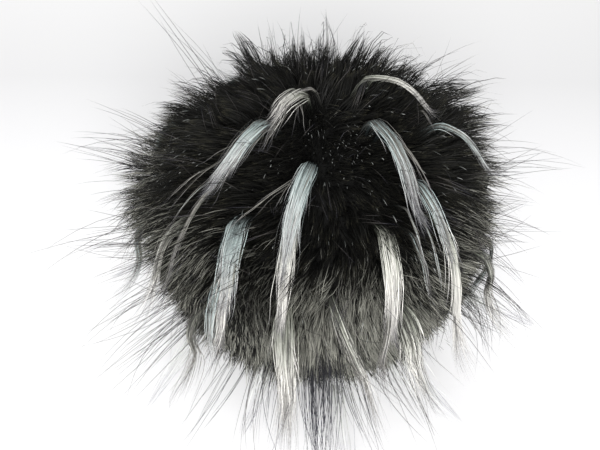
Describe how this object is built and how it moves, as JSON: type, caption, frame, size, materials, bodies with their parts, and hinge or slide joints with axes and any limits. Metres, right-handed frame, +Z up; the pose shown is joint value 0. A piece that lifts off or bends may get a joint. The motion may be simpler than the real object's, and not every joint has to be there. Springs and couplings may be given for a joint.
{
  "type": "pom pom",
  "caption": "Large round pom pom of long black fur with pale grey-white tufts that fall from its crown and splay out at its foot.",
  "frame": {"origin": "middle of the small flat spot that the pom pom rests on", "axes": "+Z up through the crown, -Y towards the side with the charted pale tufts, +X to the right seen from there"},
  "size_m": [0.16, 0.1592, 0.0927],
  "materials": {
    "black_fur": "dense black pile fibre with a soft silky shine",
    "pale_hair": "long grey-white guard hair with slate tips and a silky shine"
  },
  "bodies": {
    "root": {"pompom": "black_fur"}
  },
  "joints": []
}
